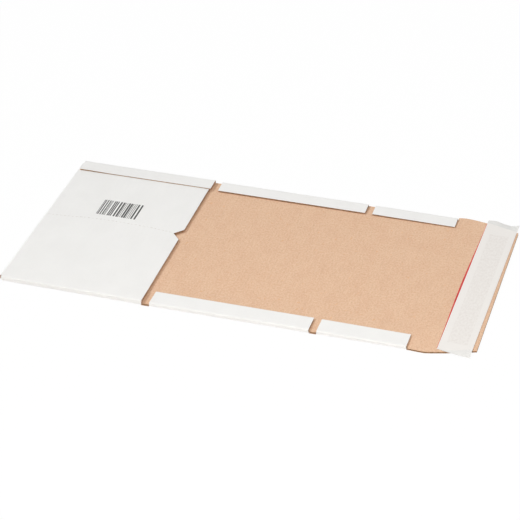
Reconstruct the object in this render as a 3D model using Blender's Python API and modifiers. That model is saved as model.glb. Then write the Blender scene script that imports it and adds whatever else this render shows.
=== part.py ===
"""A book wrap mailer of corrugated board, lying open and flat, at its real size in metres.

Frame: the origin is under the middle of the middle panel, on the face that the mailer rests on.
+X runs from the pocket to the closing flap, +Y to the far side and +Z up.
The board is one sheet in the real mailer. Here it is three solids, split along the two lines where
it bends, so that the pocket and the closing flap can fold up beside the middle panel.
"""
import math

import bmesh
import bpy
from mathutils import Matrix, Vector

# Board
BOARD = 0.0023                # thickness of the board
LAYER_GAP = 0.0003            # air between two layers that are folded onto each other
SPLIT_GAP = 0.0003            # gap at a bend line, between two solids of the one sheet
SLIT = 0.0005                 # cut between the end of a side flap and the board beside it
FOLD_STEPS = 8                # facets in a half turn

# Plan
WIDTH = 0.247                 # over the folded edges, along Y
MIDDLE_LENGTH = 0.165         # long side flaps, along X
POCKET_GAP = 0.0094           # bare board between the pocket and the long flaps
POCKET_LENGTH = 0.1504        # side strips of the pocket
CLOSING_GAP = 0.008           # bare board between the long and the short flaps
SHORT_LENGTH = 0.090          # short side flaps
FLAP_WIDTH = 0.020            # side flaps and strips, from the folded edge inwards
GAP_EDGE_INSET = 0.0003       # bare board at the gaps, inside the folded edges

# Pocket panel
PANEL_CLEARANCE = 0.0002      # panel edge to the start of the side fold
STRIP_START = 0.0003          # end fold to the start of the side strips
NOTCH_OFFSET = 0.0071         # middle of the thumb notch, from the centre line
NOTCH_DEPTH = 0.0087
NOTCH_HALF_WIDTH = 0.00965

# Tongue
TONGUE_LENGTH = 0.0671        # past the short flaps
TAPER_START = 0.018           # past the short flaps
TONGUE_FAR = 0.1262           # half widths at the short flaps
TONGUE_NEAR = 0.1234
TIP_FAR = 0.114               # half widths at the tip
TIP_NEAR = 0.1078

# Tear strip, adhesive and release liner
SEAT_GAP = 0.0003             # gap between touching pieces
TEAR_START = 0.0269           # from the short flaps
TEAR_WIDTH = 0.004
TEAR_THICKNESS = 0.0002
TEAR_INSET = 0.002            # ends of the strip, inside the board's edges
BAND_START = 0.0377           # from the short flaps
BAND_WIDTH = 0.0191
BAND_LENGTH = 0.2065
BAND_THICKNESS = 0.0002
LINER_START = 0.0302          # from the short flaps to the middle of the liner's left edge
LINER_WIDTH = 0.0335
LINER_THICKNESS = 0.0002
LINER_TURN = math.radians(0.63)
LINER_FAR_END = 0.1315        # from the centre line
LINER_NEAR_END = 0.1195
LINER_DROOP = math.radians(17)
LINER_BEND_RADIUS = 0.002
LINER_EDGE_CLEARANCE = 0.0015

# Worked out
LAYER = BOARD + LAYER_GAP
FLAP_FOLD_RADIUS = LAYER / 2
STRIP_FOLD_RADIUS = LAYER
HALF_BOARD = BOARD / 2
FLAP_FOLD_Y = WIDTH / 2 - FLAP_FOLD_RADIUS - HALF_BOARD
STRIP_FOLD_Y = WIDTH / 2 - STRIP_FOLD_RADIUS - HALF_BOARD
MIDDLE_START = -MIDDLE_LENGTH / 2
MIDDLE_END = MIDDLE_LENGTH / 2
POCKET_END = MIDDLE_START - POCKET_GAP
STRIPS_START = POCKET_END - POCKET_LENGTH
END_FOLD_X = STRIPS_START - STRIP_START
SHORT_START = MIDDLE_END + CLOSING_GAP
SHORT_END = SHORT_START + SHORT_LENGTH
POCKET_BEND_X = MIDDLE_START - POCKET_GAP / 2
CLOSING_BEND_X = MIDDLE_END + CLOSING_GAP / 2
GAP_EDGE_Y = WIDTH / 2 - GAP_EDGE_INSET
PANEL_HALF = STRIP_FOLD_Y - PANEL_CLEARANCE

X_AXIS = Vector((1, 0, 0))
Y_AXIS = Vector((0, 1, 0))


def clear_scene():
    """Removes every object of the open file."""
    for item in list(bpy.data.objects):
        bpy.data.objects.remove(item, do_unlink=True)


def make_collection(name):
    """Adds an empty collection to the scene."""
    collection = bpy.data.collections.new(name)
    bpy.context.scene.collection.children.link(collection)
    return collection


def make_material(name, color, roughness, metallic=0.0):
    """A Principled material in one colour."""
    material = bpy.data.materials.new(name)
    material.use_nodes = True
    shader = material.node_tree.nodes["Principled BSDF"]
    shader.inputs["Base Color"].default_value = (*color, 1.0)
    shader.inputs["Roughness"].default_value = roughness
    shader.inputs["Metallic"].default_value = metallic
    return material


def edge_row(mesh, xs, y, z):
    """A row of edges along X, with a vertex at each of xs."""
    points = [mesh.verts.new((x, y, z)) for x in xs]
    return [mesh.edges.new(pair) for pair in zip(points, points[1:])]


def between(edges, low, high, axis=0):
    """The edges whose middle lies from low to high along an axis."""
    found = []
    for edge in edges:
        middle = (edge.verts[0].co + edge.verts[1].co) / 2
        if low < middle[axis] < high:
            found.append(edge)
    return found


def extrude(mesh, edges, move):
    """Extrudes a row of edges along a vector and returns the new row."""
    made = bmesh.ops.extrude_edge_only(mesh, edges=edges)["geom"]
    points = [item for item in made if isinstance(item, bmesh.types.BMVert)]
    bmesh.ops.translate(mesh, verts=points, vec=move)
    return [edge for edge in made if isinstance(edge, bmesh.types.BMEdge)
            and all(point in points for point in edge.verts)]


def fold(mesh, edges, centre, axis, angle):
    """Sweeps a row of edges round a fold and returns the last row."""
    points = list({point for edge in edges for point in edge.verts})
    made = bmesh.ops.spin(mesh, geom=points + edges, cent=centre, axis=axis, dvec=(0, 0, 0),
                          angle=angle, steps=FOLD_STEPS, use_duplicate=False)["geom_last"]
    return [item for item in made if isinstance(item, bmesh.types.BMEdge)]


def side_fold(mesh, edges, fold_y, radius, side):
    """Folds the board over along X at one side, and runs the flap inwards to FLAP_WIDTH."""
    centre = Vector((0, side * fold_y, HALF_BOARD + radius))
    last = fold(mesh, edges, centre, X_AXIS, side * math.pi)
    flat = FLAP_WIDTH - radius - HALF_BOARD
    extrude(mesh, last, Vector((0, -side * flat, 0)))


def board_object(name, mesh, parts, outside, inside):
    """Turns the middle surface of the folded sheet into a board of its real thickness."""
    bmesh.ops.remove_doubles(mesh, verts=mesh.verts, dist=1e-6)
    bmesh.ops.recalc_face_normals(mesh, faces=mesh.faces)
    lowest = min(mesh.faces, key=lambda face: face.calc_center_median().z)
    if lowest.normal.z > 0:
        bmesh.ops.reverse_faces(mesh, faces=mesh.faces)
    data = bpy.data.meshes.new(name)
    mesh.to_mesh(data)
    mesh.free()
    item = bpy.data.objects.new(name, data)
    parts.objects.link(item)
    data.materials.append(outside)
    data.materials.append(inside)
    thicken = item.modifiers.new("Board thickness", "SOLIDIFY")
    thicken.thickness = BOARD
    thicken.offset = 0.0
    thicken.use_even_offset = True
    thicken.material_offset = 1
    thicken.material_offset_rim = 1
    return item


def make_middle_panel(parts, outside, inside):
    """The middle panel with its two long side flaps folded in."""
    mesh = bmesh.new()
    start = POCKET_BEND_X + SPLIT_GAP / 2
    end = CLOSING_BEND_X - SPLIT_GAP / 2
    xs = [start, MIDDLE_START - SLIT, MIDDLE_START, MIDDLE_END, MIDDLE_END + SLIT, end]
    near = edge_row(mesh, xs, -FLAP_FOLD_Y, HALF_BOARD)
    far = extrude(mesh, near, Vector((0, 2 * FLAP_FOLD_Y, 0)))
    for row, side in ((near, -1), (far, 1)):
        side_fold(mesh, between(row, MIDDLE_START, MIDDLE_END), FLAP_FOLD_Y, FLAP_FOLD_RADIUS, side)
        out = Vector((0, side * (GAP_EDGE_Y - FLAP_FOLD_Y), 0))
        extrude(mesh, between(row, start, MIDDLE_START - SLIT), out)
        extrude(mesh, between(row, MIDDLE_END + SLIT, end), out)
    return board_object("middle_panel", mesh, parts, outside, inside)


def make_notch_cutter(cutters):
    """A square block on its corner, which cuts the thumb notch into the pocket panel only."""
    low = BOARD + LAYER_GAP / 2
    high = BOARD + 2 * LAYER
    bpy.ops.mesh.primitive_cube_add(size=1)
    cutter = bpy.context.object
    cutter.name = "notch_cutter"
    corner = math.sqrt(0.5)
    cutter.data.transform(Matrix.Rotation(math.radians(45), 4, "Z"))
    reach = 2 * NOTCH_DEPTH
    side = reach * NOTCH_HALF_WIDTH / NOTCH_DEPTH
    for point in cutter.data.vertices:
        point.co.x *= reach / corner
        point.co.y *= side / corner
        point.co.z *= high - low
    cutter.location = (POCKET_END - NOTCH_DEPTH + reach, NOTCH_OFFSET, (low + high) / 2)
    cutter.hide_render = True
    cutter.display_type = "WIRE"
    for collection in cutter.users_collection:
        collection.objects.unlink(cutter)
    cutters.objects.link(cutter)
    return cutter


def make_pocket(parts, cutters, outside, inside):
    """The pocket: the base, the panel folded over it and the strips folded over the panel."""
    mesh = bmesh.new()
    end = POCKET_BEND_X - SPLIT_GAP / 2
    xs = [END_FOLD_X, STRIPS_START, POCKET_END, POCKET_END + SLIT, end]
    near = edge_row(mesh, xs, -PANEL_HALF, HALF_BOARD)
    far = extrude(mesh, near, Vector((0, 2 * PANEL_HALF, 0)))
    for row, side in ((near, -1), (far, 1)):
        inner = between(row, STRIPS_START, end)
        outer = extrude(mesh, inner, Vector((0, side * PANEL_CLEARANCE, 0)))
        side_fold(mesh, between(outer, STRIPS_START, POCKET_END), STRIP_FOLD_Y, STRIP_FOLD_RADIUS, side)
        out = Vector((0, side * (GAP_EDGE_Y - STRIP_FOLD_Y), 0))
        extrude(mesh, between(outer, POCKET_END + SLIT, end), out)
    left = [edge for edge in mesh.edges
            if all(abs(point.co.x - END_FOLD_X) < SLIT / 10 for point in edge.verts)]
    centre = Vector((END_FOLD_X, 0, HALF_BOARD + FLAP_FOLD_RADIUS))
    last = fold(mesh, left, centre, Y_AXIS, math.pi)
    extrude(mesh, last, Vector((POCKET_END - END_FOLD_X, 0, 0)))
    pocket = board_object("pocket", mesh, parts, outside, inside)
    cut = pocket.modifiers.new("Thumb notch", "BOOLEAN")
    cut.operation = "DIFFERENCE"
    cut.solver = "EXACT"
    cut.object = make_notch_cutter(cutters)
    return pocket


def make_closing_flap(parts, outside, inside):
    """The closing flap: two short side flaps folded in, and the bare tongue that tapers."""
    mesh = bmesh.new()
    start = CLOSING_BEND_X + SPLIT_GAP / 2
    taper = SHORT_END + TAPER_START
    tip = SHORT_END + TONGUE_LENGTH
    xs = [start, SHORT_START - SLIT, SHORT_START, SHORT_END, SHORT_END + SLIT, taper, tip]
    near = edge_row(mesh, xs, -FLAP_FOLD_Y, HALF_BOARD)
    far = extrude(mesh, near, Vector((0, 2 * FLAP_FOLD_Y, 0)))
    sides = ((near, -1, TONGUE_NEAR, TIP_NEAR), (far, 1, TONGUE_FAR, TIP_FAR))
    for row, side, half, tip_half in sides:
        side_fold(mesh, between(row, SHORT_START, SHORT_END), FLAP_FOLD_Y, FLAP_FOLD_RADIUS, side)
        gap_out = Vector((0, side * (GAP_EDGE_Y - FLAP_FOLD_Y), 0))
        extrude(mesh, between(row, start, SHORT_START - SLIT), gap_out)
        tongue_out = Vector((0, side * (half - FLAP_FOLD_Y), 0))
        extrude(mesh, between(row, SHORT_END + SLIT, tip), tongue_out)
        for point in mesh.verts:
            if point.co.x > tip - SLIT and point.co.y * side > 0:
                point.co.y *= tip_half / half
    return board_object("closing_flap", mesh, parts, outside, inside)


def tongue_half_width(x, half, tip_half):
    """Half width of the tongue at x, on the side with these half widths."""
    share = (x - SHORT_END - TAPER_START) / (TONGUE_LENGTH - TAPER_START)
    return half + (tip_half - half) * min(max(share, 0), 1)


def box_object(name, low, high, parts, material):
    """A flat piece between two corners."""
    bpy.ops.mesh.primitive_cube_add(size=1)
    item = bpy.context.object
    item.name = name
    item.data.name = name
    for point in item.data.vertices:
        for axis in range(3):
            size = high[axis] - low[axis]
            point.co[axis] *= size
    item.location = [(a + b) / 2 for a, b in zip(low, high)]
    item.data.materials.append(material)
    for collection in item.users_collection:
        collection.objects.unlink(item)
    parts.objects.link(item)
    return item


def make_tear_strip(parts, material):
    """The red film strip that lies across the tongue."""
    start = SHORT_END + TEAR_START
    near = tongue_half_width(start + TEAR_WIDTH, TONGUE_NEAR, TIP_NEAR) - TEAR_INSET
    far = tongue_half_width(start + TEAR_WIDTH, TONGUE_FAR, TIP_FAR) - TEAR_INSET
    low = (start, -near, BOARD + SEAT_GAP)
    high = (start + TEAR_WIDTH, far, BOARD + SEAT_GAP + TEAR_THICKNESS)
    return box_object("tear_strip", low, high, parts, material)


def make_adhesive_band(parts, material):
    """The band of adhesive, under the liner."""
    start = SHORT_END + BAND_START
    low = (start, -BAND_LENGTH / 2, BOARD + SEAT_GAP)
    high = (start + BAND_WIDTH, BAND_LENGTH / 2, BOARD + SEAT_GAP + BAND_THICKNESS)
    return box_object("adhesive_band", low, high, parts, material)


def make_release_liner(parts, material):
    """The paper strip over the adhesive, whose ends hang over the board's edges."""
    left = SHORT_END + LINER_START
    far_edge = tongue_half_width(left, TONGUE_FAR, TIP_FAR)
    near_edge = tongue_half_width(left, TONGUE_NEAR, TIP_NEAR)
    level = BOARD + SEAT_GAP + BAND_THICKNESS + SEAT_GAP + LINER_THICKNESS / 2
    mesh = bmesh.new()
    half = LINER_WIDTH / 2
    row = edge_row(mesh, [-half, half], 0, level)
    ends = ((1, far_edge + LINER_EDGE_CLEARANCE, LINER_FAR_END),
            (-1, near_edge - LINER_EDGE_CLEARANCE, LINER_NEAR_END))
    for side, bend, end in ends:
        flat = extrude(mesh, row, Vector((0, side * bend, 0)))
        centre = Vector((0, side * bend, level - LINER_BEND_RADIUS))
        last = fold(mesh, flat, centre, X_AXIS, -side * LINER_DROOP)
        reached = bend + LINER_BEND_RADIUS * math.sin(LINER_DROOP)
        run = max(end - reached, LINER_BEND_RADIUS)
        extrude(mesh, last, Vector((0, side * run, -run * math.tan(LINER_DROOP))))
    bmesh.ops.remove_doubles(mesh, verts=mesh.verts, dist=1e-6)
    bmesh.ops.recalc_face_normals(mesh, faces=mesh.faces)
    data = bpy.data.meshes.new("release_liner")
    mesh.to_mesh(data)
    mesh.free()
    item = bpy.data.objects.new("release_liner", data)
    parts.objects.link(item)
    item.location = (left + half, 0, 0)
    item.rotation_euler = (0, 0, -LINER_TURN)
    data.materials.append(material)
    thicken = item.modifiers.new("Liner thickness", "SOLIDIFY")
    thicken.thickness = LINER_THICKNESS
    thicken.offset = 0.0
    thicken.use_even_offset = True
    return item


def add_bend(name, x, parts, pieces):
    """An empty on a bend line, at the inner face of the board, which carries what folds up."""
    bend = bpy.data.objects.new(name, None)
    bend.empty_display_size = BOARD
    bend.location = (x, 0, BOARD)
    parts.objects.link(bend)
    for piece in pieces:
        piece.parent = bend
        piece.matrix_parent_inverse.identity()
        piece.location -= bend.location
    return bend


def main():
    clear_scene()
    parts = make_collection("book_wrap_mailer")
    cutters = make_collection("cutters")
    white = make_material("white_board", (0.80, 0.79, 0.77), 0.6)
    kraft = make_material("kraft_board", (0.56, 0.34, 0.17), 0.8)
    film = make_material("tear_film", (0.65, 0.02, 0.03), 0.3)
    adhesive = make_material("adhesive", (0.70, 0.66, 0.60), 0.35)
    paper = make_material("liner_paper", (0.74, 0.72, 0.69), 0.4)
    make_middle_panel(parts, white, kraft)
    pocket = make_pocket(parts, cutters, white, kraft)
    flap = make_closing_flap(parts, white, kraft)
    strip = make_tear_strip(parts, film)
    band = make_adhesive_band(parts, adhesive)
    liner = make_release_liner(parts, paper)
    add_bend("pocket_bend", POCKET_BEND_X, parts, [pocket])
    add_bend("closing_bend", CLOSING_BEND_X, parts, [flap, strip, band, liner])


main()
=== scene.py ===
import math
import bpy
import numpy as np
from mathutils import Matrix, Vector


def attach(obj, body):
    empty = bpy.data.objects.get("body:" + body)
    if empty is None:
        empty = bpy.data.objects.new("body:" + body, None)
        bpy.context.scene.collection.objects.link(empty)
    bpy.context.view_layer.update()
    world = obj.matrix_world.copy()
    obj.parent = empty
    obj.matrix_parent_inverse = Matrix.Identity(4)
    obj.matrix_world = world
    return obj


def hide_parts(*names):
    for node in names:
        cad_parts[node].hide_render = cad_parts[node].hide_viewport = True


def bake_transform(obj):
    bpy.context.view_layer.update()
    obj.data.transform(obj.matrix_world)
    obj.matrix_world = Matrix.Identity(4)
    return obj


# The look of a book wrap mailer of corrugated board, lying open on a white table.
# Mesh code works in millimetres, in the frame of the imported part. u runs along X and v along Y
# of the unfolded sheet, and w goes through the board, from its white outside to its brown inside.

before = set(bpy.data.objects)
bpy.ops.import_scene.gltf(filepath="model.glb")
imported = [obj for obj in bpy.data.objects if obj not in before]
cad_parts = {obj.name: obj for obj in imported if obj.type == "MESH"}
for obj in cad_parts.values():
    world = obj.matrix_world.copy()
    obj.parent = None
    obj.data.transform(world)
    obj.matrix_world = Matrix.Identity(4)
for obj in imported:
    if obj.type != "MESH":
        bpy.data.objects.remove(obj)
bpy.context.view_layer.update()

MM = 0.001

# Board: its thickness, papers and flutes, the sag of a paper between glue lines, and mesh steps
BOARD = 2.3
HALF_BOARD = BOARD / 2
PAPER = 0.24
MEDIUM = 0.2
FLUTE_PITCH = 6.22
SAG = 0.045
FINE_STEP = 0.63
COARSE_STEP = 1.1
FOLD_ROWS = 12
FOLD_BOXINESS = 0.5
FLAP_ROW_SHARES = (0.062, 0.5, 0.85, 0.95, 1.0)
INNER_ROWS = (-60, 0, 60)
SHARP_ANGLE = math.radians(35)

# Folds, with the free edges of the flaps at the near and the far side
FLAP_RADIUS = 1.3
FLAP_FOLD = 121.05
FLAP_FREE_NEAR = 101.6
FLAP_FREE_FAR = 105.2
STRIP_RADIUS = 2.6
STRIP_FOLD = 119.75
STRIP_FREE_NEAR = 103.5
STRIP_FREE_FAR = 104.2
END_FOLD = -242.6

# Crushed board: the part of its height that is left at cut ends and free edges
STRIP_CRUSH = 0.36
STRIP_CRUSH_CORNER = 0.62
STRIP_CORNER_LENGTH = 40
FREE_EDGE_CRUSH = 0.8
LONG_CRUSH = (0.9, 0.9)
SHORT_CRUSH = (0.85, 0.6)

# Plan, along X
STRIPS_START = -242.3
POCKET_END = -91.9
PANEL_END = -91.3
STRIP_END_REACH = 1.2
STRIP_REACH_LENGTH = 10
MIDDLE_START = -82.5
MIDDLE_END = 82.5
SHORT_START = 90.5
SHORT_END = 180.5
TONGUE_END = 247.2
TIP_CRUSH_LENGTH = 2.0
TIP_CRUSH = 0.92
TONGUE_EDGE_CRUSH = 0.8
TONGUE_EDGE_SLOPE = 3.0
SLIT = 0.5
GAP_EDGE = 123.2
PANEL_EDGE = 119.55
PANEL_TOP = 4.9
POCKET_NEAR_ROWS = (-PANEL_EDGE, -80, -40)
POCKET_FAR_ROWS = (45, 80, PANEL_EDGE)
JUST_PAST = 0.01

# How the glued pocket lies askew: its panel's free edge moves by a length and a share of y, and
# each side gets narrower toward the end fold by a share of its width
PANEL_SKEW = (0.45, 0.0062)
POCKET_SKEW_FAR = 0.006
POCKET_SKEW_NEAR = 0.011

# Thumb notch in the pocket panel
NOTCH_LOW = -2.55
NOTCH_HIGH = 16.75
NOTCH_MIDDLE = 7.1
NOTCH_DEPTH = 8.7
NOTCH_REACH = 25.0
NOTCH_ROWS = 15

# Tongue
FAR_EDGE_X = (181.0, 187.9, 194.5, 199.5, 210.7, 226.1, 247.6)
FAR_EDGE_Y = (126.4, 127.6, 127.2, 126.6, 124.5, 120.2, 113.8)
NEAR_EDGE_X = (181.0, 192.3, 198.2, 203.9, 210.3, 219.1, 231.5, 247.6)
NEAR_EDGE_Y = (123.4, 124.0, 124.2, 123.0, 121.1, 118.5, 114.1, 108.4)

# Rows of v that the cut edges of the tongue and the gaps follow
TONGUE_NEAR_ROW = 6
TONGUE_FAR_ROW = FOLD_ROWS + 1
POCKET_GAP_ROW = 6
CLOSING_GAP_ROW = 5

# Tear strip, adhesive and release liner
TEAR_WIDTH = 4.0
TEAR_SHOWS = (0.4, 1.55)
TEAR_BOW_HALF = 120
TEAR_NEAR_INSET = 1.5
TEAR_FAR_INSET = 0.8
LINER_START = 210.7
LINER_END = 244.2
LINER_TURN = math.radians(0.63)
LINER_THICKNESS = 0.1
LINER_STEP = 1.2
LINER_FLAT_ROWS = (-100, 105)
LINER_HANGS_LEAST = 3
LINER_BEND_POWER = 1.5
LINER_REACH_FAR = 131.5
LINER_FAR_X = (212.0, 221.0, 228.0, 237.0, 240.5, 244.5)
LINER_FAR_Y = (131.4, 131.6, 130.0, 129.0, 129.2, 129.6)
LINER_FAR_DROP = (0.5, 0.3, 1.4, 2.2, 1.6, 0.5)
LINER_REACH_NEAR = 120.5
LINER_NEAR_X = (209.3, 217.0, 226.0, 243.5)
LINER_NEAR_Y = (116.9, 119.0, 120.2, 121.8)
LINER_NEAR_DROP = (0.0, 0.0, 0.5, 1.5)
FILM = 0.12
FILM_SINK = 0.03
BAND_START = 218.2
BAND_END = 237.3
BAND_HALF = 103.2
BAND_THICKNESS = 0.17
BAND_MARGIN = 0.5
LINER_LEVEL = 2.5

# Painted shade on the liner past the board's slanting edges, along its bend and on the ends that droop: a
# direction over the flat liner, and the distances along it where the painted shade starts and ends
LINER_FAR_SHADE_ALONG = (0.285, 1.0)
LINER_FAR_SHADE_PAST = (183.6, 190.6)
LINER_NEAR_SHADE_ALONG = (0.34, -1.0)
LINER_NEAR_SHADE_PAST = (191.5, 197.0)

# Bars of print and the perforated tear line on the pocket panel
BARS_START = -193.0
BARS_END = -148.0
BARS_NEAR = 21.6
BARS_FAR = 51.5
BAR_MODULE = 0.62
BAR_WIDTHS = (1, 1, 1, 2, 2, 3)
BAR_SPACES = (1, 1, 2, 2, 3)
PRINT_RISE = 0.008
PRINT_DEPTH = 0.12
PRINT_STEP = 2.0
PERFORATION_X = (-243.0, -210.5, -200.0, -171.0, -142.0, -122.0, -101.4)
PERFORATION_Y = (6.4, 9.7, 11.4, 12.4, 12.1, 10.7, 8.1)
PERFORATION_PITCH = 4.4
PERFORATION_CUT = 2.2
PERFORATION_WIDTHS = (0.15, 0.35)
PERFORATION_INSET = 1

# Camera at the photograph's viewing angle. The target is in millimetres, the distance in metres
CAMERA_AZIMUTH = math.radians(16.55)
CAMERA_ELEVATION = math.radians(32.8)
CAMERA_ROLL = math.radians(-0.07)
CAMERA_TARGET = (-0.58, -9.6, 0)
CAMERA_DISTANCE = 2.0686
CAMERA_LENS = 138.3
CAMERA_SENSOR = 36
CAMERA_CLIP = (0.1, 20)

# Lights: a key lamp at the left, soft lamps in front and above, and even light all round, in metres
KEY_TOWARD = (-math.cos(math.radians(45)), 0, math.sin(math.radians(45)))
KEY_STRENGTH = 1.66
KEY_SOFTNESS = 7
KEY_COLOR = (0.93, 1.0, 1.06)
FILL_COLOR = (1.045, 1.0, 0.96)
WORLD_STRENGTH = 0.25
FRONT_PLACE = (0.2, -1.05, 0.62)
FRONT_POWER = 6.1
FRONT_SIZE = 0.7
OVERHEAD_PLACE = (0.1, 0.1, 1.7)
OVERHEAD_POWER = 7.2
OVERHEAD_SIZE = 1.2

# Colours, linear
WHITE_PAPER = (0.862, 0.856, 0.838, 1)
WHITE_SHADE = (0.838, 0.831, 0.812, 1)
KRAFT = (0.780, 0.545, 0.377, 1)
KRAFT_DARK = (0.752, 0.506, 0.344, 1)
GRAIN_DARK = (0.88, 0.790, 0.740, 1)
SPOT_RED = (1.0, 0.92, 0.84, 1)
KRAFT_EDGE = (0.640, 0.410, 0.240, 1)
MEDIUM_BROWN = (0.470, 0.280, 0.150, 1)
FILM_RED = (0.700, 0.060, 0.055, 1)
FILM_DARK = (0.47, 0.022, 0.028, 1)
LINER_WHITE = (0.830, 0.800, 0.765, 1)
LINER_SHADE = (0.815, 0.787, 0.752, 1)
LINER_BAND = (0.760, 0.722, 0.685, 1)
# Painted shade on the liner: darker along its bend over the board's far edge, and on the ends that droop
# past the board
BEND_PAINTED_SHADE = (0.885, 0.915, 0.925, 1)
HANGING_PAINTED_SHADE = (0.935, 0.958, 0.970, 1)
NO_PAINTED_SHADE = (1, 1, 1, 1)
FAR_END_PAINTED_SHADE = ((0.0, NO_PAINTED_SHADE), (0.18, NO_PAINTED_SHADE), (0.32, BEND_PAINTED_SHADE), (0.6, HANGING_PAINTED_SHADE))
NEAR_END_PAINTED_SHADE = ((0.0, NO_PAINTED_SHADE), (0.25, HANGING_PAINTED_SHADE))
ADHESIVE = (0.760, 0.700, 0.640, 1)
ADHESIVE_SHADE = (0.62, 0.62, 0.62, 1)
# Colours of the perforation's cuts: partly the board's brown cut edges, partly painted shade in the slits
CUT_SHADE_DARK = (0.38, 0.32, 0.26, 1)
CUT_SHADE_LIGHT = (0.6, 0.54, 0.47, 1)
INK = (0.050, 0.048, 0.048, 1)
INK_WORN = (0.12, 0.115, 0.115, 1)
FLOOR_WHITE = (0.96, 0.96, 0.96, 1)
FLOOR_GLOW = 0.965
FLOOR_HALF = 3.0
SPECULAR = 0.25


def aim(item, toward):
    """Turns a lamp so that its back points along a direction, and it shines the other way."""
    item.rotation_euler = Vector(toward).to_track_quat("Z", "Y").to_euler()


def make_camera():
    """The camera at the photograph's viewing angle."""
    level = math.cos(CAMERA_ELEVATION)
    back = Vector((math.sin(CAMERA_AZIMUTH) * level,
                   -math.cos(CAMERA_AZIMUTH) * level,
                   math.sin(CAMERA_ELEVATION)))
    place = Vector(CAMERA_TARGET) * MM + back * CAMERA_DISTANCE
    data = bpy.data.cameras.new("camera")
    data.lens = CAMERA_LENS
    data.sensor_width = CAMERA_SENSOR
    data.clip_start, data.clip_end = CAMERA_CLIP
    camera = bpy.data.objects.new("camera", data)
    bpy.context.scene.collection.objects.link(camera)
    turn = back.to_track_quat("Z", "Y").to_matrix() @ Matrix.Rotation(CAMERA_ROLL, 3, "Z")
    camera.matrix_world = Matrix.Translation(place) @ turn.to_4x4()
    bpy.context.scene.camera = camera


def make_sun(name, toward, strength, softness, color):
    """A soft lamp far away, toward a direction."""
    data = bpy.data.lights.new(name, "SUN")
    data.color = color
    data.energy = strength
    data.angle = math.radians(softness)
    lamp = bpy.data.objects.new(name, data)
    bpy.context.scene.collection.objects.link(lamp)
    aim(lamp, toward)


def make_panel_light(name, place, power, size):
    """A square lamp that faces the origin."""
    data = bpy.data.lights.new(name, "AREA")
    data.color = FILL_COLOR
    data.energy = power
    data.size = size
    lamp = bpy.data.objects.new(name, data)
    bpy.context.scene.collection.objects.link(lamp)
    lamp.location = place
    aim(lamp, place)


def make_world():
    """Even light from above, and white where the camera or a reflection looks past the table."""
    world = bpy.data.worlds.new("studio")
    bpy.context.scene.world = world
    world.use_nodes = True
    nodes = world.node_tree.nodes
    links = world.node_tree.links
    nodes.clear()
    light = nodes.new("ShaderNodeBackground")
    light.inputs["Color"].default_value = (*FILL_COLOR, 1)
    light.inputs["Strength"].default_value = WORLD_STRENGTH
    seen = nodes.new("ShaderNodeBackground")
    seen.inputs["Color"].default_value = (1, 1, 1, 1)
    seen.inputs["Strength"].default_value = 1
    mix = nodes.new("ShaderNodeMixShader")
    links.new(seen_by_eye(nodes, links), mix.inputs["Fac"])
    links.new(light.outputs[0], mix.inputs[1])
    links.new(seen.outputs[0], mix.inputs[2])
    out = nodes.new("ShaderNodeOutputWorld")
    links.new(mix.outputs[0], out.inputs["Surface"])


def seen_by_eye(nodes, links):
    """1 for camera, glossy and transmission rays, 0 for the others."""
    path = nodes.new("ShaderNodeLightPath")
    first = nodes.new("ShaderNodeMath")
    first.operation = "MAXIMUM"
    links.new(path.outputs["Is Camera Ray"], first.inputs[0])
    links.new(path.outputs["Is Glossy Ray"], first.inputs[1])
    second = nodes.new("ShaderNodeMath")
    second.operation = "MAXIMUM"
    links.new(first.outputs[0], second.inputs[0])
    links.new(path.outputs["Is Transmission Ray"], second.inputs[1])
    return second.outputs[0]


def floor_material():
    """A white table. The eye sees mostly its glow of strength 1, and faintly the shadow on it."""
    material = bpy.data.materials.new("table")
    material.use_nodes = True
    nodes = material.node_tree.nodes
    links = material.node_tree.links
    nodes.clear()
    matte = nodes.new("ShaderNodeBsdfDiffuse")
    matte.inputs["Color"].default_value = FLOOR_WHITE
    glow = nodes.new("ShaderNodeEmission")
    glow.inputs["Color"].default_value = (1, 1, 1, 1)
    glow.inputs["Strength"].default_value = 1
    share = nodes.new("ShaderNodeMath")
    share.operation = "MULTIPLY"
    share.inputs[1].default_value = FLOOR_GLOW
    links.new(seen_by_eye(nodes, links), share.inputs[0])
    mix = nodes.new("ShaderNodeMixShader")
    links.new(share.outputs[0], mix.inputs["Fac"])
    links.new(matte.outputs[0], mix.inputs[1])
    links.new(glow.outputs[0], mix.inputs[2])
    out = nodes.new("ShaderNodeOutputMaterial")
    links.new(mix.outputs[0], out.inputs["Surface"])
    return material


def make_floor():
    """The table under the mailer."""
    corners = [(x * FLOOR_HALF, y * FLOOR_HALF, 0) for x, y in ((-1, -1), (1, -1), (1, 1), (-1, 1))]
    data = bpy.data.meshes.new("table")
    data.from_pydata(corners, [], [(0, 1, 2, 3)])
    data.materials.append(floor_material())
    table = bpy.data.objects.new("table", data)
    bpy.context.scene.collection.objects.link(table)


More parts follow.
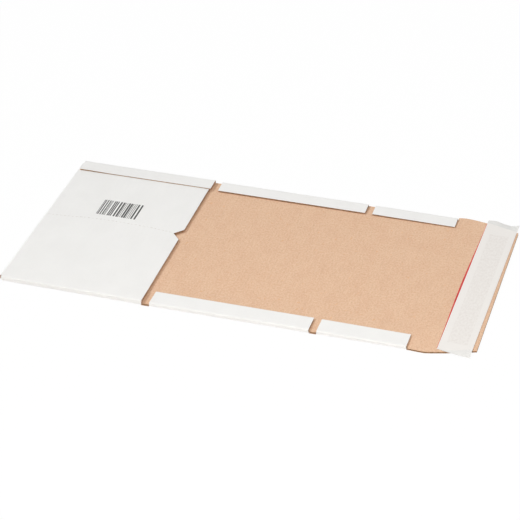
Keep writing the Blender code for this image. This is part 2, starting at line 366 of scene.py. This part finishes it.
class Shader:
    """A material with one Principled shader, and short ways to add texture nodes to it."""

    def __init__(self, name, roughness):
        self.material = bpy.data.materials.new(name)
        self.material.use_nodes = True
        self.nodes = self.material.node_tree.nodes
        self.links = self.material.node_tree.links
        self.surface = self.nodes["Principled BSDF"]
        self.surface.inputs["Roughness"].default_value = roughness
        self.surface.inputs["Specular IOR Level"].default_value = SPECULAR
        self.flat = self.nodes.new("ShaderNodeUVMap")
        self.flat.uv_map = "flat"

    def coordinates(self, along_u, along_v):
        """The unfolded sheet's coordinates in metres, scaled along u and v."""
        mapping = self.nodes.new("ShaderNodeMapping")
        mapping.inputs["Scale"].default_value = (along_u, along_v, 1)
        self.links.new(self.flat.outputs["UV"], mapping.inputs["Vector"])
        return mapping.outputs["Vector"]

    def noise(self, along_u, along_v, detail=3.0, roughness=0.55):
        """Noise on the unfolded sheet, in cells a metre along u and v."""
        node = self.nodes.new("ShaderNodeTexNoise")
        node.inputs["Scale"].default_value = 1
        node.inputs["Detail"].default_value = detail
        node.inputs["Roughness"].default_value = roughness
        self.links.new(self.coordinates(along_u, along_v), node.inputs["Vector"])
        return node.outputs["Fac"]

    def ramp(self, value, stops):
        """A colour ramp over a value, with (position, colour) stops."""
        node = self.nodes.new("ShaderNodeValToRGB")
        elements = node.color_ramp.elements
        elements[0].position, elements[0].color = stops[0]
        elements[1].position, elements[1].color = stops[-1]
        for position, color in stops[1:-1]:
            elements.new(position).color = color
        self.links.new(value, node.inputs["Fac"])
        return node.outputs["Color"]

    def multiply(self, first, second):
        """One colour times another."""
        node = self.nodes.new("ShaderNodeMix")
        node.data_type = "RGBA"
        node.blend_type = "MULTIPLY"
        node.inputs["Factor"].default_value = 1
        self.links.new(first, node.inputs["A"])
        self.links.new(second, node.inputs["B"])
        return node.outputs["Result"]

    def add(self, first, second, amount):
        """One value plus a part of another."""
        node = self.nodes.new("ShaderNodeMath")
        node.operation = "MULTIPLY_ADD"
        node.inputs[1].default_value = amount
        self.links.new(second, node.inputs[0])
        self.links.new(first, node.inputs[2])
        return node.outputs[0]

    def flute_wave(self, pitch, shift=0.0):
        """A value from 0 to 1 that repeats along u with a pitch in millimetres."""
        split = self.nodes.new("ShaderNodeSeparateXYZ")
        self.links.new(self.flat.outputs["UV"], split.inputs[0])
        turn = self.nodes.new("ShaderNodeMath")
        turn.operation = "MULTIPLY_ADD"
        turn.inputs[1].default_value = 2 * math.pi / (pitch * MM)
        turn.inputs[2].default_value = shift
        self.links.new(split.outputs["X"], turn.inputs[0])
        wave = self.nodes.new("ShaderNodeMath")
        wave.operation = "SINE"
        self.links.new(turn.outputs[0], wave.inputs[0])
        range_node = self.nodes.new("ShaderNodeMapRange")
        range_node.inputs["From Min"].default_value = -1
        range_node.inputs["From Max"].default_value = 1
        self.links.new(wave.outputs[0], range_node.inputs["Value"])
        return range_node.outputs["Result"]

    def bump(self, height, strength, distance):
        """Relief from a value: a strength, and a height in metres."""
        node = self.nodes.new("ShaderNodeBump")
        node.inputs["Strength"].default_value = strength
        node.inputs["Distance"].default_value = distance
        self.links.new(height, node.inputs["Height"])
        self.links.new(node.outputs["Normal"], self.surface.inputs["Normal"])

    def beyond(self, along, start, end):
        """0 to 1 from start to end, in millimetres along a direction of the flat sheet."""
        distance = self.nodes.new("ShaderNodeVectorMath")
        distance.operation = "DOT_PRODUCT"
        distance.inputs[1].default_value = (along[0], along[1], 0)
        self.links.new(self.flat.outputs["UV"], distance.inputs[0])
        spread = self.nodes.new("ShaderNodeMapRange")
        spread.inputs["From Min"].default_value = start * MM
        spread.inputs["From Max"].default_value = end * MM
        self.links.new(distance.outputs["Value"], spread.inputs["Value"])
        return spread.outputs["Result"]

    def within(self, low, high):
        """1 inside a box of the flat sheet, given by two corners in millimetres, and 0 outside."""
        split = self.nodes.new("ShaderNodeSeparateXYZ")
        self.links.new(self.flat.outputs["UV"], split.inputs[0])
        result = None
        for name, start, end in zip("XY", low, high):
            compare = self.nodes.new("ShaderNodeMath")
            compare.operation = "COMPARE"
            compare.inputs[1].default_value = (start + end) / 2 * MM
            compare.inputs[2].default_value = (end - start) / 2 * MM
            self.links.new(split.outputs[name], compare.inputs[0])
            if result is None:
                result = compare.outputs[0]
                continue
            both = self.nodes.new("ShaderNodeMath")
            both.operation = "MULTIPLY"
            self.links.new(result, both.inputs[0])
            self.links.new(compare.outputs[0], both.inputs[1])
            result = both.outputs[0]
        return result

    def color(self, socket):
        """Gives the surface its colour."""
        self.links.new(socket, self.surface.inputs["Base Color"])


def grey(level):
    """A grey for a ramp."""
    return (level, level, level, 1)


def white_material():
    """White paper with a faint cloudiness and fine fibres."""
    shader = Shader("white_paper", 0.6)
    cloud = shader.ramp(shader.noise(40, 25, 4), ((0.3, WHITE_SHADE), (0.7, WHITE_PAPER)))
    fibres = shader.ramp(shader.noise(2500, 500, 2), ((0.3, grey(0.975)), (0.6, grey(1.0))))
    shader.color(shader.multiply(cloud, fibres))
    shader.bump(shader.noise(1800, 700, 3), 0.15, 0.0002)
    return shader.material


def kraft_material():
    """Brown kraft paper: fine grain, reddish spots, specks and faint dashed lines over the flutes."""
    shader = Shader("kraft_paper", 0.75)
    mottle = shader.ramp(shader.noise(70, 40, 4, 0.6), ((0.3, KRAFT_DARK), (0.6, KRAFT)))
    grain = shader.ramp(shader.noise(600, 390, 4, 0.75), ((0.37, GRAIN_DARK), (0.59, grey(1.0))))
    streaks = shader.ramp(shader.noise(430, 40, 3, 0.6), ((0.3, grey(0.975)), (0.6, grey(1.0))))
    spots = shader.ramp(shader.noise(190, 120, 1), ((0.25, SPOT_RED), (0.31, grey(1.0))))
    specks = shader.ramp(shader.noise(700, 700, 1), ((0.2, grey(0.72)), (0.26, grey(1.0))))
    broken = shader.add(shader.flute_wave(FLUTE_PITCH), shader.noise(150, 330, 2), 0.55)
    lines = shader.ramp(broken, ((0.15, grey(0.92)), (0.28, grey(1.0))))
    halves = shader.add(shader.flute_wave(FLUTE_PITCH / 2, 0.8), shader.noise(150, 330, 2), 0.4)
    fine_lines = shader.ramp(halves, ((0.15, grey(0.97)), (0.3, grey(1.0))))
    color = shader.multiply(shader.multiply(mottle, grain), shader.multiply(streaks, specks))
    color = shader.multiply(shader.multiply(color, spots), shader.multiply(lines, fine_lines))
    shader.color(color)
    shader.bump(shader.noise(1300, 700, 4), 0.3, 0.0002)
    return shader.material


def edge_material():
    """The cut edge of kraft paper."""
    shader = Shader("kraft_edge", 0.85)
    speckle = shader.ramp(shader.noise(1500, 1500, 4), ((0.3, MEDIUM_BROWN), (0.7, KRAFT_EDGE)))
    shader.color(speckle)
    shader.bump(shader.noise(2500, 2500, 3), 0.4, 0.0002)
    return shader.material


def medium_material():
    """The wavy paper in the middle of the board."""
    shader = Shader("medium_paper", 0.85)
    mottle = shader.ramp(shader.noise(300, 300, 4), ((0.3, MEDIUM_BROWN), (0.7, KRAFT_EDGE)))
    shader.color(mottle)
    shader.bump(shader.noise(2000, 800, 3), 0.3, 0.0002)
    return shader.material


def film_material():
    """Glossy red film with faint ridges along it."""
    shader = Shader("red_film", 0.35)
    shade = shader.ramp(shader.noise(900, 60, 3), ((0.3, FILM_DARK), (0.7, FILM_RED)))
    shader.color(shade)
    shader.bump(shader.noise(1500, 40, 2), 0.3, 0.0002)
    return shader.material


def adhesive_material():
    """Pale adhesive, uneven in its thickness."""
    shader = Shader("adhesive", 0.3)
    blobs = shader.ramp(shader.noise(220, 120, 4), ((0.35, ADHESIVE_SHADE), (0.65, ADHESIVE)))
    shader.color(blobs)
    shader.bump(shader.noise(200, 100, 3), 0.5, 0.0003)
    return shader.material


def liner_material():
    """Smooth release paper, a little see-through, so that the adhesive's blobs show faintly, with painted
    shade along its bend and on its drooping ends.
    """
    shader = Shader("release_paper", 0.42)
    blobs = shader.ramp(shader.noise(480, 260, 4, 0.6), ((0.34, LINER_BAND), (0.66, LINER_WHITE)))
    bare = shader.ramp(shader.noise(120, 50, 3), ((0.3, LINER_SHADE), (0.6, LINER_WHITE)))
    over_band = shader.within((BAND_START - BAND_MARGIN, -BAND_HALF), (BAND_END + BAND_MARGIN, BAND_HALF))
    mix = shader.nodes.new("ShaderNodeMix")
    mix.data_type = "RGBA"
    shader.links.new(over_band, mix.inputs["Factor"])
    shader.links.new(bare, mix.inputs["A"])
    shader.links.new(blobs, mix.inputs["B"])
    fibres = shader.ramp(shader.noise(1600, 700, 2), ((0.3, grey(0.98)), (0.6, grey(1.0))))
    paper = shader.multiply(mix.outputs["Result"], fibres)
    # Painted shade along the bend over the board's far edge and on both drooping ends
    far_end = shader.ramp(shader.beyond(LINER_FAR_SHADE_ALONG, *LINER_FAR_SHADE_PAST), FAR_END_PAINTED_SHADE)
    near_end = shader.ramp(shader.beyond(LINER_NEAR_SHADE_ALONG, *LINER_NEAR_SHADE_PAST), NEAR_END_PAINTED_SHADE)
    shader.color(shader.multiply(paper, shader.multiply(far_end, near_end)))
    shader.bump(shader.noise(120, 25, 3), 0.3, 0.0004)
    return shader.material


def cut_shade_material():
    """The thin dark line of a cut in white paper: partly the brown of the board's cut edges, partly
    painted shade in the slit.
    """
    shader = Shader("cut", 0.8)
    shader.color(shader.ramp(shader.noise(900, 900, 2), ((0.3, CUT_SHADE_DARK), (0.7, CUT_SHADE_LIGHT))))
    shader.bump(shader.noise(2000, 2000, 2), 0.2, 0.0001)
    return shader.material


def ink_material():
    """Black print that lets a little of the paper's grain through."""
    shader = Shader("print_ink", 0.55)
    shade = shader.ramp(shader.noise(1800, 600, 3), ((0.3, INK), (0.8, INK_WORN)))
    shader.color(shade)
    shader.bump(shader.noise(2000, 800, 2), 0.1, 0.0001)
    return shader.material


def steps(stops, size):
    """Values from stop to stop, no further apart than a size."""
    values = [stops[0]]
    for start, end in zip(stops, stops[1:]):
        count = max(1, math.ceil((end - start) / size))
        values += [start + (end - start) * k / count for k in range(1, count + 1)]
    return np.array(values)


def fold_rows(fold, radius, free_edge):
    """Rows of v on one side: round the fold and then inwards to the flap's free edge."""
    turn = math.pi * radius
    rows = [fold + turn * k / FOLD_ROWS for k in range(FOLD_ROWS + 1)]
    length = fold - free_edge
    return rows + [fold + turn + length * share for share in FLAP_ROW_SHARES]


def both_sides(near_rows, inner, far_rows):
    """Rows of v from the near side to the far side, with inner rows between the folds."""
    return np.array([-v for v in reversed(near_rows)] + list(inner) + list(far_rows))


def round_fold(past, w, radius):
    """How far a point lies past the fold's start, and its height, for a board folded back on itself.

    past is how far it is past the start on the flat sheet. The fold is a box with round corners.
    """
    angle = np.clip(past / radius, 0, math.pi)
    run = np.maximum(past - math.pi * radius, 0)
    reach = radius + HALF_BOARD - w
    out = np.sin(angle) ** FOLD_BOXINESS
    up = -np.sign(np.cos(angle)) * np.abs(np.cos(angle)) ** FOLD_BOXINESS
    return np.minimum(past, 0) + reach * out - run, HALF_BOARD + radius + reach * up


def fold_side(v, w, fold, radius):
    """Y and Z of points of the flat sheet, with the board folded over at both sides."""
    past, z = round_fold(np.abs(v) - fold, w, radius)
    return np.sign(v) * (fold + past), z


def crush(z, base, left):
    """Heights above a base, with only a part of them left."""
    return np.where(z > base, base + (z - base) * left, z)


def free_edge_crush(v, fold, radius, free_edge):
    """The part of a flap's height that is left across it, less and less toward its free edge."""
    start = fold + math.pi * radius
    share = np.clip((np.abs(v) - start) / (fold - free_edge), 0, 1)
    return 1 - (1 - FREE_EDGE_CRUSH) * share


def ripple(u):
    """Where on the flute a point is, from 0 at the white side's glue line to 1 at the brown one."""
    return 0.5 - 0.5 * np.cos(2 * math.pi * (u / FLUTE_PITCH))


def outer_paper(u):
    """Low and high face of the white outer paper, which sags between its glue lines."""
    low = SAG * ripple(u)
    return low, low + PAPER


def inner_paper(u):
    """Low and high face of the brown inner paper."""
    high = BOARD - SAG * (1 - ripple(u))
    return high - PAPER, high


def wavy_paper(u):
    """Low and high face of the wavy paper between them."""
    swing = HALF_BOARD - PAPER - MEDIUM / 2
    middle = HALF_BOARD + swing * (2 * ripple(u) - 1)
    return middle - MEDIUM / 2, middle + MEDIUM / 2


def shell(us, vs, inside, warp, place, faces_at):
    """A closed sheet over a grid of u and v: its points, faces, face kinds and flat coordinates.

    inside tells which cells are board, warp moves grid points on the flat sheet, place folds it,
    and faces_at gives the low and high face of the sheet. Face kinds are 0 low, 1 high, 2 edge.
    """
    u_middle = (us[1:] + us[:-1]) / 2
    v_middle = (vs[1:] + vs[:-1]) / 2
    kept = inside(*np.meshgrid(u_middle, v_middle, indexing="ij"))
    u_grid, v_grid = np.meshgrid(us, vs, indexing="ij")
    u_grid, v_grid = warp(u_grid, v_grid)
    low, high = faces_at(u_grid)
    count = u_grid.size
    points = np.concatenate([np.stack(place(u_grid, v_grid, w), -1).reshape(-1, 3) for w in (low, high)])
    flat = np.stack((u_grid, v_grid), -1).reshape(-1, 2)
    flat = np.concatenate((flat, flat)) * MM
    index = np.arange(count).reshape(u_grid.shape)
    padded = np.pad(kept, 1)
    i, j = np.nonzero(kept)
    a, b, c, d = index[i, j], index[i + 1, j], index[i + 1, j + 1], index[i, j + 1]
    quads = [np.stack((a, d, c, b), -1), np.stack((a, b, c, d), -1) + count]
    kinds = [np.zeros(len(a), int), np.ones(len(a), int)]
    borders = ((-1, 0, d, a), (1, 0, b, c), (0, -1, a, b), (0, 1, c, d))
    for di, dj, first, second in borders:
        open_side = ~padded[i + 1 + di, j + 1 + dj]
        first, second = first[open_side], second[open_side]
        quads.append(np.stack((first, second, second + count, first + count), -1))
        kinds.append(np.full(len(first), 2))
    quads = np.concatenate(quads)
    used = np.unique(quads)
    renumber = np.zeros(2 * count, int)
    renumber[used] = np.arange(len(used))
    return points[used], renumber[quads], np.concatenate(kinds), flat[used]


def mesh_object(name, shells, materials):
    """One object from shells, each given with its material for low, high and edge faces."""
    all_points, all_faces, all_slots, all_flat = [], [], [], []
    offset = 0
    for (points, faces, kinds, flat), slots in shells:
        all_points.append(points)
        all_faces.append(faces + offset)
        all_slots.append(np.array(slots)[kinds])
        all_flat.append(flat)
        offset += len(points)
    points = np.concatenate(all_points) * MM
    faces = np.concatenate(all_faces)
    flat = np.concatenate(all_flat)
    data = bpy.data.meshes.new(name)
    data.from_pydata(points.tolist(), [], faces.tolist())
    for material in materials:
        data.materials.append(material)
    data.polygons.foreach_set("material_index", np.concatenate(all_slots).astype(np.int32))
    layer = data.uv_layers.new(name="flat")
    layer.data.foreach_set("uv", flat[faces.ravel()].astype(np.float32).ravel())
    data.shade_smooth()
    data.set_sharp_from_angle(angle=SHARP_ANGLE)
    data.validate()
    data.update()
    item = bpy.data.objects.new(name, data)
    bpy.context.scene.collection.objects.link(item)
    return item


def board_object(name, stops, vs, inside, warp, place, materials):
    """A piece of corrugated board: outer paper, wavy paper and inner paper.

    materials are white, kraft, edge and wavy paper, in that order.
    """
    coarse = steps(stops, COARSE_STEP)
    fine = steps(stops, FINE_STEP)
    outer = shell(coarse, vs, inside, warp, place, outer_paper)
    inner = shell(coarse, vs, inside, warp, place, inner_paper)
    wavy = shell(fine, vs, inside, warp, place, wavy_paper)
    shells = ((outer, (0, 1, 2)), (wavy, (3, 3, 3)), (inner, (1, 1, 2)))
    return mesh_object(name, shells, materials)


def as_it_is(u, v):
    """No warp."""
    return u, v


def everywhere(u, v):
    """Every cell of a grid is board."""
    return np.ones(u.shape, bool)


def stretch(v, start, from_edge, to_edge):
    """V on both sides, with what lies past start stretched so that from_edge comes to to_edge."""
    past = (np.abs(v) - start) * (to_edge - start) / (from_edge - start)
    return np.sign(v) * (start + past)


def place_flaps(u, v, w, ends, left_at_ends):
    """Folds the side flaps of the middle board or the closing flap."""
    y, z = fold_side(v, w, FLAP_FOLD, FLAP_RADIUS)
    free_edge = np.where(v > 0, FLAP_FREE_FAR, FLAP_FREE_NEAR)
    left = np.interp(u, ends, left_at_ends) * free_edge_crush(v, FLAP_FOLD, FLAP_RADIUS, free_edge)
    return u, y, crush(z, BOARD, left)


def make_middle_board(materials):
    """The middle panel with its two long flaps."""
    near_rows = fold_rows(FLAP_FOLD, FLAP_RADIUS, FLAP_FREE_NEAR)
    far_rows = fold_rows(FLAP_FOLD, FLAP_RADIUS, FLAP_FREE_FAR)
    vs = both_sides(near_rows, INNER_ROWS, far_rows)
    ends = (MIDDLE_START, MIDDLE_END)

    def place(u, v, w):
        return place_flaps(u, v, w, ends, LONG_CRUSH)

    return board_object("middle_board", ends, vs, everywhere, as_it_is, place, materials)


def make_pocket_board(materials):
    """The pocket: base, panel folded over it and strips folded over the panel, and the gap beside."""
    turn = math.pi * FLAP_RADIUS
    panel_length = PANEL_END - END_FOLD
    far_left = END_FOLD - turn - panel_length
    straight = far_left + NOTCH_REACH
    near_rows = fold_rows(STRIP_FOLD, STRIP_RADIUS, STRIP_FREE_NEAR)
    far_rows = fold_rows(STRIP_FOLD, STRIP_RADIUS, STRIP_FREE_FAR)
    gap_row = near_rows[POCKET_GAP_ROW]
    notch_rows = np.linspace(NOTCH_LOW, NOTCH_HIGH, NOTCH_ROWS)
    inner = np.concatenate((POCKET_NEAR_ROWS, notch_rows, POCKET_FAR_ROWS))
    vs = both_sides(near_rows, inner, far_rows)
    turn_stops = [END_FOLD - turn * k / FOLD_ROWS for k in range(FOLD_ROWS, 0, -1)]
    stops = [far_left, straight] + turn_stops + [END_FOLD, STRIPS_START, POCKET_END]
    stops += [POCKET_END + SLIT, MIDDLE_START - SLIT, MIDDLE_START]

    def inside(u, v):
        side = np.abs(v)
        strips = (u > STRIPS_START) & (u < POCKET_END)
        gap = (u > POCKET_END + SLIT) & (u < MIDDLE_START - SLIT) & (side < gap_row)
        joined = (u > STRIPS_START) & (side < STRIP_FOLD)
        return (side < PANEL_EDGE) | strips | gap | joined

    def warp(u, v):
        past = np.clip((straight - u) / NOTCH_REACH, 0, 1)
        depth = NOTCH_DEPTH * np.clip(1 - np.abs(v - NOTCH_MIDDLE) / (NOTCH_HIGH - NOTCH_MIDDLE), 0, 1)
        depth += PANEL_SKEW[0] + PANEL_SKEW[1] * v
        in_gap = (u > POCKET_END + SLIT / 2) & (np.abs(v) > STRIP_FOLD)
        return u + past * depth, np.where(in_gap, stretch(v, STRIP_FOLD, gap_row, GAP_EDGE), v)

    def place(u, v, w):
        in_gap = u > POCKET_END + SLIT / 2
        y, z = fold_side(v, w, STRIP_FOLD, STRIP_RADIUS)
        far_corner = (STRIPS_START, STRIPS_START + STRIP_CORNER_LENGTH)
        far_left_over = np.interp(u, far_corner, (STRIP_CRUSH_CORNER, STRIP_CRUSH))
        z = crush(z, PANEL_TOP, np.where(v > 0, far_left_over, STRIP_CRUSH))
        y = np.where(in_gap, v, y)
        z = np.where(in_gap, w, z)
        past, end_z = round_fold(END_FOLD - u, w, FLAP_RADIUS)
        on_strip = (np.abs(v) > STRIP_FOLD + JUST_PAST) & ~in_gap
        reach = STRIP_END_REACH * np.clip((u - POCKET_END) / STRIP_REACH_LENGTH + 1, 0, 1)
        x = END_FOLD - past + np.where(on_strip, reach, 0)
        skew = np.clip((POCKET_END - x) / (POCKET_END - END_FOLD), 0, 1)
        y = y * (1 - skew * np.where(v > 0, POCKET_SKEW_FAR, POCKET_SKEW_NEAR))
        return x, y, np.where(u < END_FOLD, end_z, z)

    return board_object("pocket_board", stops, vs, inside, warp, place, materials)


def left_of_tongue(u, v):
    """The part of the tongue's height that is left near its end and its near edge."""
    tip = np.interp(u, (TONGUE_END - TIP_CRUSH_LENGTH, TONGUE_END), (1, TIP_CRUSH))
    from_edge = np.interp(u, NEAR_EDGE_X, NEAR_EDGE_Y) + v
    return tip * np.interp(from_edge, (0, TONGUE_EDGE_SLOPE), (TONGUE_EDGE_CRUSH, 1))


def make_closing_board(materials):
    """The gap, the closing flap with its two short flaps, and the bare tongue."""
    near_rows = fold_rows(FLAP_FOLD, FLAP_RADIUS, FLAP_FREE_NEAR)
    far_rows = fold_rows(FLAP_FOLD, FLAP_RADIUS, FLAP_FREE_FAR)
    near_row = near_rows[TONGUE_NEAR_ROW]
    far_row = far_rows[TONGUE_FAR_ROW]
    gap_row = near_rows[CLOSING_GAP_ROW]
    vs = both_sides(near_rows, INNER_ROWS, far_rows)
    ends = (SHORT_START, SHORT_END)
    stops = [MIDDLE_END, MIDDLE_END + SLIT, SHORT_START - SLIT, SHORT_START, SHORT_END,
             SHORT_END + SLIT, TONGUE_END - TIP_CRUSH_LENGTH, TONGUE_END]
    tongue = SHORT_END + SLIT / 2

    def inside(u, v):
        side = np.abs(v)
        flaps = (u > SHORT_START) & (u < SHORT_END)
        gap = (u > MIDDLE_END + SLIT) & (u < SHORT_START - SLIT) & (side < gap_row)
        tip = (u > SHORT_END + SLIT) & (v < far_row) & (v > -near_row)
        return (side < FLAP_FOLD) | flaps | gap | tip

    def warp(u, v):
        far = np.interp(u, FAR_EDGE_X, FAR_EDGE_Y) / far_row
        near = np.interp(u, NEAR_EDGE_X, NEAR_EDGE_Y) / near_row
        scale = np.where(u > tongue, np.where(v > 0, far, near), 1)
        in_gap = (u < SHORT_START - SLIT / 2) & (np.abs(v) > FLAP_FOLD)
        return u, np.where(in_gap, stretch(v, FLAP_FOLD, gap_row, GAP_EDGE), v * scale)

    def place(u, v, w):
        u, y, z = place_flaps(u, v, w, ends, SHORT_CRUSH)
        level = (u > tongue) | (u < SHORT_START - SLIT / 2)
        left = np.where(u > tongue, left_of_tongue(u, v), 1)
        return u, np.where(level, v, y), np.where(level, w * left, z)

    return board_object("closing_board", stops, vs, inside, warp, place, materials)


def flat_sheet(name, us, vs, level, thickness, material, shape=None):
    """A thin sheet over a grid, with an optional shape(x, y) that gives moved x, y and height."""
    def place(u, v, w):
        if shape is None:
            return u, v, w
        x, y, z = shape(u, v)
        return x, y, z + w

    def faces_at(u):
        return np.full(u.shape, level), np.full(u.shape, level + thickness)

    made = shell(us, vs, everywhere, as_it_is, place, faces_at)
    return mesh_object(name, ((made, (0, 0, 0)),), (material,))


def liner_left(y):
    """X of the liner's left edge at y."""
    return LINER_START + y * math.tan(LINER_TURN)


def make_tear_strip(material):
    """The red film strip across the tongue, most of it under the liner."""
    us = steps((LINER_START, LINER_START + TEAR_WIDTH), 1.0)
    near = LINER_NEAR_Y[0] - TEAR_NEAR_INSET
    far = float(np.interp(LINER_START, FAR_EDGE_X, FAR_EDGE_Y)) - TEAR_FAR_INSET
    vs = steps((-near, far), 4.0)

    def bow(u, v):
        bulge = np.cos(np.clip(v / TEAR_BOW_HALF, -1, 1) * math.pi / 2) ** 2
        shown = TEAR_SHOWS[0] + TEAR_SHOWS[1] * bulge
        return u - LINER_START + liner_left(v) - shown, v, np.zeros(u.shape)

    return flat_sheet("tear_strip", us, vs, BOARD - FILM_SINK, FILM, material, bow)


def make_adhesive_band(material):
    """The adhesive under the liner."""
    us = steps((BAND_START, BAND_END), 2.0)
    vs = steps((-BAND_HALF, BAND_HALF), 4.0)
    return flat_sheet("adhesive_band", us, vs, BOARD - FILM_SINK, BAND_THICKNESS, material)


def bend_end(y, edge, end, reach, drop):
    """Y and height of an end of the liner that hangs over the board's edge.

    The sheet's row at reach comes to end, and drop below the rest of the liner.
    """
    bend = np.minimum(edge, end - LINER_HANGS_LEAST)
    past = np.clip((y - bend) / (reach - bend), 0, 1)
    moved = np.minimum(y, bend) + past * (end - bend)
    return moved, -drop * past ** LINER_BEND_POWER


def liner_shape(u, v):
    """The release liner: slightly turned, flat on the tongue, its two ends bent over the edges."""
    middle = (LINER_START + LINER_END) / 2
    x = middle + (u - middle) * math.cos(LINER_TURN) + v * math.sin(LINER_TURN)
    y = v * math.cos(LINER_TURN) - (u - middle) * math.sin(LINER_TURN)
    far_edge = np.interp(x, FAR_EDGE_X, FAR_EDGE_Y)
    far_end = np.interp(x, LINER_FAR_X, LINER_FAR_Y)
    far_drop = np.interp(x, LINER_FAR_X, LINER_FAR_DROP)
    far_y, far_z = bend_end(y, far_edge, far_end, LINER_REACH_FAR, far_drop)
    near_edge = np.interp(x, NEAR_EDGE_X, NEAR_EDGE_Y)
    near_end = np.interp(x, LINER_NEAR_X, LINER_NEAR_Y)
    near_drop = np.interp(x, LINER_NEAR_X, LINER_NEAR_DROP)
    near_y, near_z = bend_end(-y, near_edge, near_end, LINER_REACH_NEAR, near_drop)
    return x, np.where(y > 0, far_y, -near_y), far_z + near_z


def make_liner(material):
    """The release liner over the adhesive."""
    us = steps((LINER_START, LINER_END), LINER_STEP)
    vs = steps((-LINER_REACH_NEAR, *LINER_FLAT_ROWS, LINER_REACH_FAR), LINER_STEP)
    return flat_sheet("release_liner", us, vs, LINER_LEVEL, LINER_THICKNESS, material, liner_shape)


def low_print(name, patches, material):
    """Thin print or cuts on the pocket panel. Each patch is its corner, size and turn in radians."""
    shells = []

    def faces_at(u):
        return np.full(u.shape, PANEL_TOP - PRINT_DEPTH), np.full(u.shape, PANEL_TOP + PRINT_RISE)

    for x, y, length, width, turn in patches:
        def place(u, v, w, x=x, y=y, turn=turn):
            along = u * math.cos(turn) - v * math.sin(turn)
            across = u * math.sin(turn) + v * math.cos(turn)
            return x + along, y + across, w

        us = steps((0, length), PRINT_STEP)
        vs = steps((0, width), PRINT_STEP)
        made = shell(us, vs, everywhere, as_it_is, place, faces_at)
        shells.append((made, (0, 0, 0)))
    return mesh_object(name, shells, (material,))


def make_bars(material):
    """Plain bars of print on the pocket panel, in widths and gaps of the script's own."""
    random = np.random.default_rng(11)
    patches = []
    x = BARS_START
    while x < BARS_END:
        width = BAR_MODULE * random.choice(BAR_WIDTHS)
        patches.append((x, BARS_NEAR, width, BARS_FAR - BARS_NEAR, 0))
        x += width + BAR_MODULE * random.choice(BAR_SPACES)
    return low_print("printed_bars", patches, material)


def make_perforation(material):
    """The faint cuts of the tear line across the pocket panel, along a shallow arc: dark marks, partly
    the board's brown and partly painted shade in the slits.
    """
    random = np.random.default_rng(4)
    patches = []
    start = PERFORATION_X[0] + PERFORATION_INSET
    end = PERFORATION_X[-1] - 2 * PERFORATION_INSET
    for x in np.arange(start, end, PERFORATION_PITCH):
        length = PERFORATION_CUT * random.uniform(0.6, 1.2)
        y = np.interp(x, PERFORATION_X, PERFORATION_Y)
        rise = np.interp(x + length, PERFORATION_X, PERFORATION_Y) - y
        patches.append((x, y, length, random.uniform(*PERFORATION_WIDTHS), math.atan2(rise, length)))
    return low_print("perforation", patches, material)


def make_studio():
    """The camera, the lights and the table."""
    make_camera()
    make_world()
    make_sun("key", KEY_TOWARD, KEY_STRENGTH, KEY_SOFTNESS, KEY_COLOR)
    make_panel_light("front", FRONT_PLACE, FRONT_POWER, FRONT_SIZE)
    make_panel_light("overhead", OVERHEAD_PLACE, OVERHEAD_POWER, OVERHEAD_SIZE)
    make_floor()


def show_boards():
    """The three stretches of the one sheet."""
    papers = (white_material(), kraft_material(), edge_material(), medium_material())
    pocket = make_pocket_board(papers)
    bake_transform(pocket)
    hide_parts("pocket")
    middle = make_middle_board(papers)
    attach(middle, "middle")
    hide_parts("middle_panel")
    closing = make_closing_board(papers)
    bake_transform(closing)
    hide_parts("closing_flap")


def show_strips():
    """The tear strip, the adhesive and its liner, on the closing flap."""
    strip = make_tear_strip(film_material())
    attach(strip, "closing_end")
    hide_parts("tear_strip")
    band = make_adhesive_band(adhesive_material())
    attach(band, "closing_end")
    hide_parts("adhesive_band")
    liner = make_liner(liner_material())
    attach(liner, "closing_end")
    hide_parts("release_liner")


def show_print():
    """What is printed on and cut into the pocket panel."""
    bars = make_bars(ink_material())
    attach(bars, "pocket_end")
    perforation = make_perforation(cut_shade_material())
    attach(perforation, "pocket_end")


bpy.context.scene.view_settings.view_transform = "Standard"
make_studio()
show_boards()
show_strips()
show_print()
